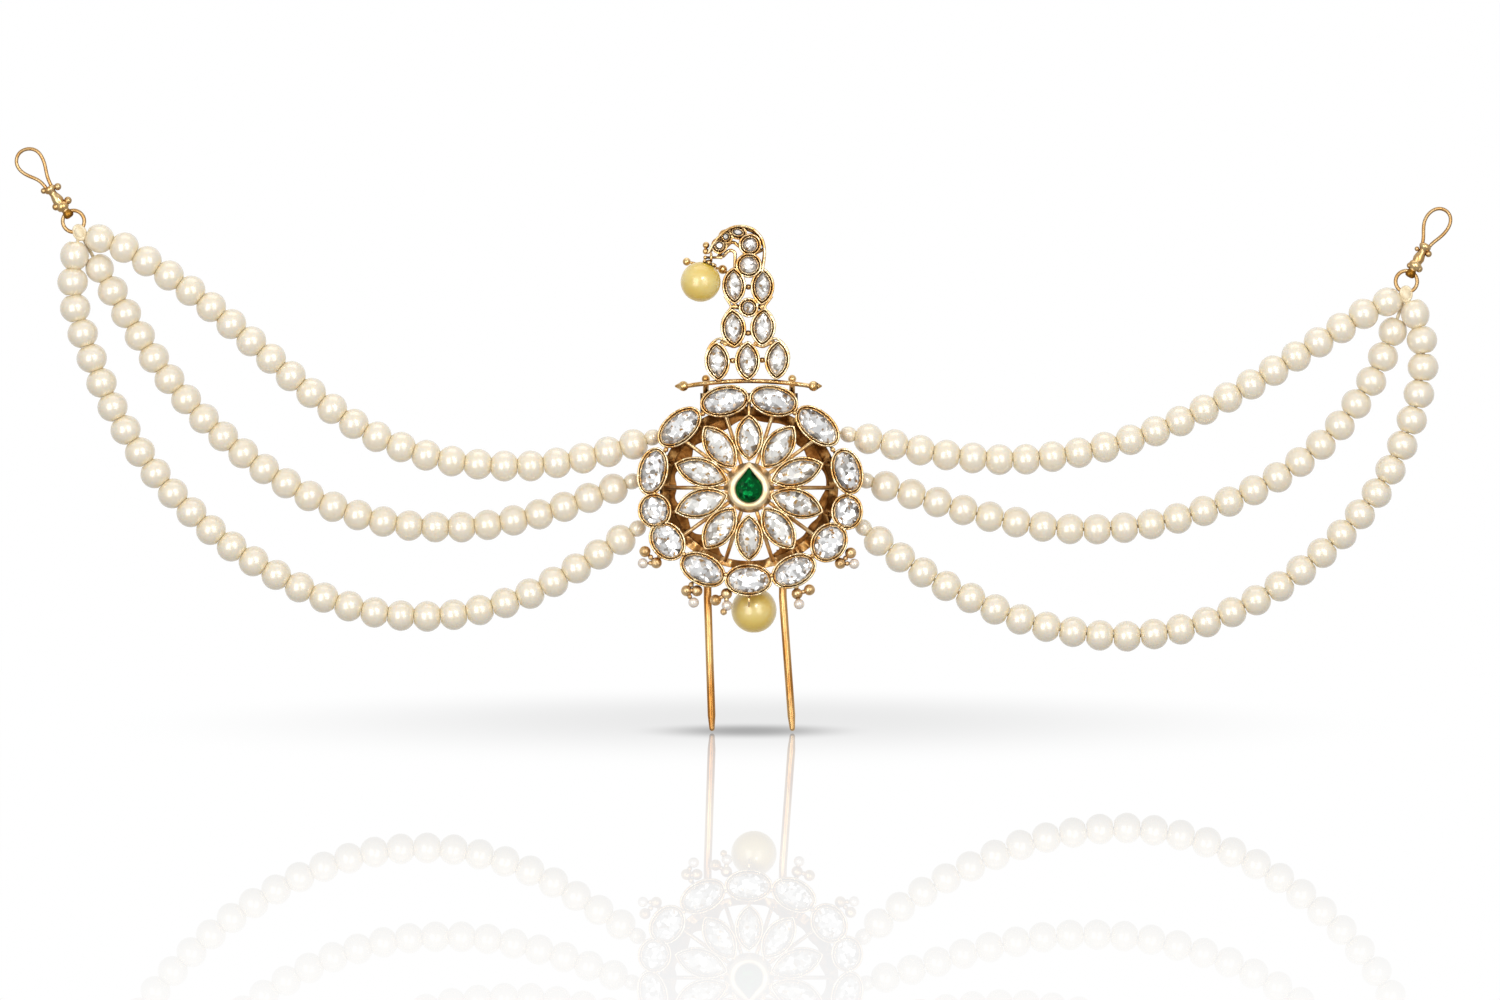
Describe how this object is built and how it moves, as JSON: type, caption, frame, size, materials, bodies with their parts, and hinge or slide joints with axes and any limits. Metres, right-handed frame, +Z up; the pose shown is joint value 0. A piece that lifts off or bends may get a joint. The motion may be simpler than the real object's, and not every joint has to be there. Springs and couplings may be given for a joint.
{
  "type": "turban ornament",
  "caption": "Stone-set openwork medallion with a curled plume and a two-pronged fork, hung between bead strands that end in hooks, with yellow pearl drops.",
  "frame": {"origin": "midway between the fork's prongs, level with the medallion's lower rim, where the ornament is pushed into the turban's folds", "axes": "+X towards the wearer's left along the strands, +Z up along the plume, the front faces -Y"},
  "size_m": [0.2938, 0.0167, 0.1193],
  "materials": {
    "gold": "satin antique gold",
    "crystal": "cut and polished, foil behind",
    "emerald": "cut and polished",
    "bead_pearl": "cream pearl lustre",
    "yellow_pearl": "golden pearl lustre",
    "seed_pearl": "silvery pearl lustre",
    "thread": "twisted silk"
  },
  "bodies": {
    "root": {"centre_stone": "emerald", "left_hook": "gold", "left_knot": "thread", "left_lower_strand": "bead_pearl", "left_lower_thread": "thread", "left_middle_strand": "bead_pearl", "left_middle_thread": "thread", "left_ring": "gold", "left_upper_strand": "bead_pearl", "left_upper_thread": "thread", "medallion_frame": "gold", "outer_stone_01": "crystal", "outer_stone_02": "crystal", "outer_stone_03": "crystal", "outer_stone_04": "crystal", "outer_stone_05": "crystal", "outer_stone_06": "crystal", "outer_stone_07": "crystal", "outer_stone_08": "crystal", "outer_stone_09": "crystal", "outer_stone_10": "crystal", "outer_stone_11": "crystal", "outer_stone_12": "crystal", "outer_stone_13": "crystal", "petal_stone_01": "crystal", "petal_stone_02": "crystal", "petal_stone_03": "crystal", "petal_stone_04": "crystal", "petal_stone_05": "crystal", "petal_stone_06": "crystal", "petal_stone_07": "crystal", "petal_stone_08": "crystal", "petal_stone_09": "crystal", "petal_stone_10": "crystal", "plume_frame": "gold", "plume_stones": "crystal", "right_hook": "gold", "right_knot": "thread", "right_lower_strand": "bead_pearl", "right_lower_thread": "thread", "right_middle_strand": "bead_pearl", "right_middle_thread": "thread", "right_ring": "gold", "right_upper_strand": "bead_pearl", "right_upper_thread": "thread", "seed_pearls": "seed_pearl", "turban_fork": "gold"},
    "rim_drop": {"rim_pearl": "yellow_pearl", "rim_pearl_wire": "gold"},
    "plume_drop": {"plume_pearl": "yellow_pearl", "plume_pearl_wire": "gold"}
  },
  "joints": [
    {"name": "rim_drop_swing", "type": "hinge", "parent": "root", "child": "rim_drop", "pos_m": [0.001, 0.0032, 0.0021], "axis": [1, 0, 0], "range_deg": [-3, 40]},
    {"name": "plume_drop_swing", "type": "hinge", "parent": "root", "child": "plume_drop", "pos_m": [-0.0077, -0.00475, 0.06775], "axis": [-1, 0, 0], "range_deg": [-4, 60]}
  ]
}
